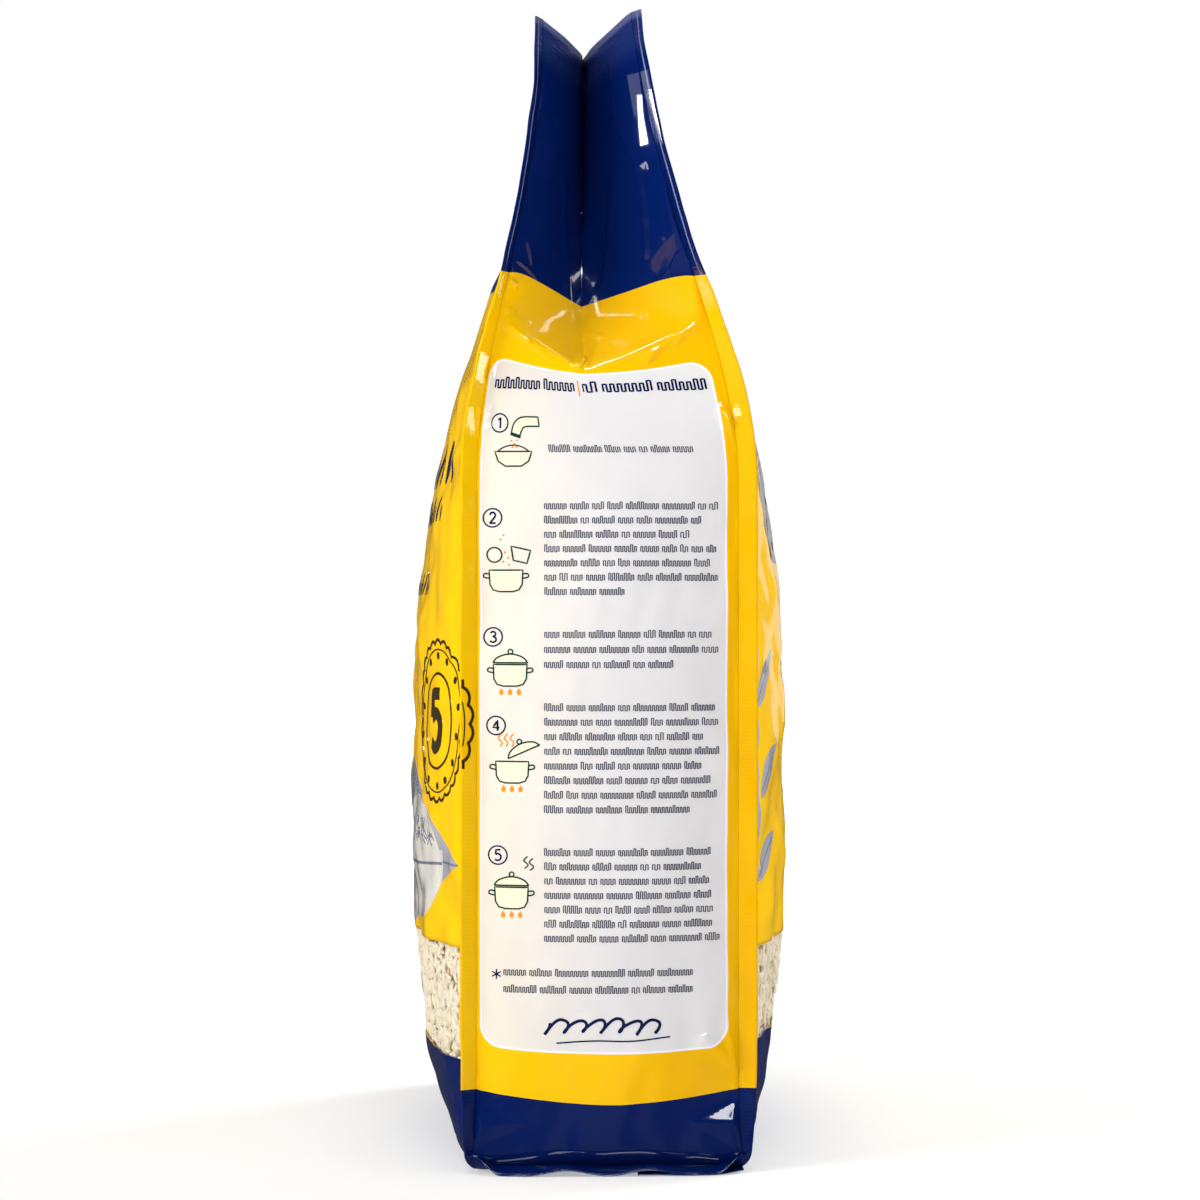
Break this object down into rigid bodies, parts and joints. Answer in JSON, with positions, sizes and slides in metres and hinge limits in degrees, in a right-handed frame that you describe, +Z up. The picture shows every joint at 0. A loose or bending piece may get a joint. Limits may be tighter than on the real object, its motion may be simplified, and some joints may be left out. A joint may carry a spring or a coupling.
{
  "type": "rice sack",
  "caption": "Filled rice sack of glossy printed film that stands on its flat base, with pleated sides, sealed corner fins and a flat sealed top.",
  "frame": {"origin": "middle of the flat base, on the surface the sack stands on", "axes": "+Z up through the sack, -Y towards the broad front panel, +X and -X towards the pleated sides"},
  "size_m": [0.228, 0.131, 0.3795],
  "materials": {
    "film": "glossy printed packaging film"
  },
  "bodies": {
    "root": {"sack": "film"}
  },
  "joints": []
}
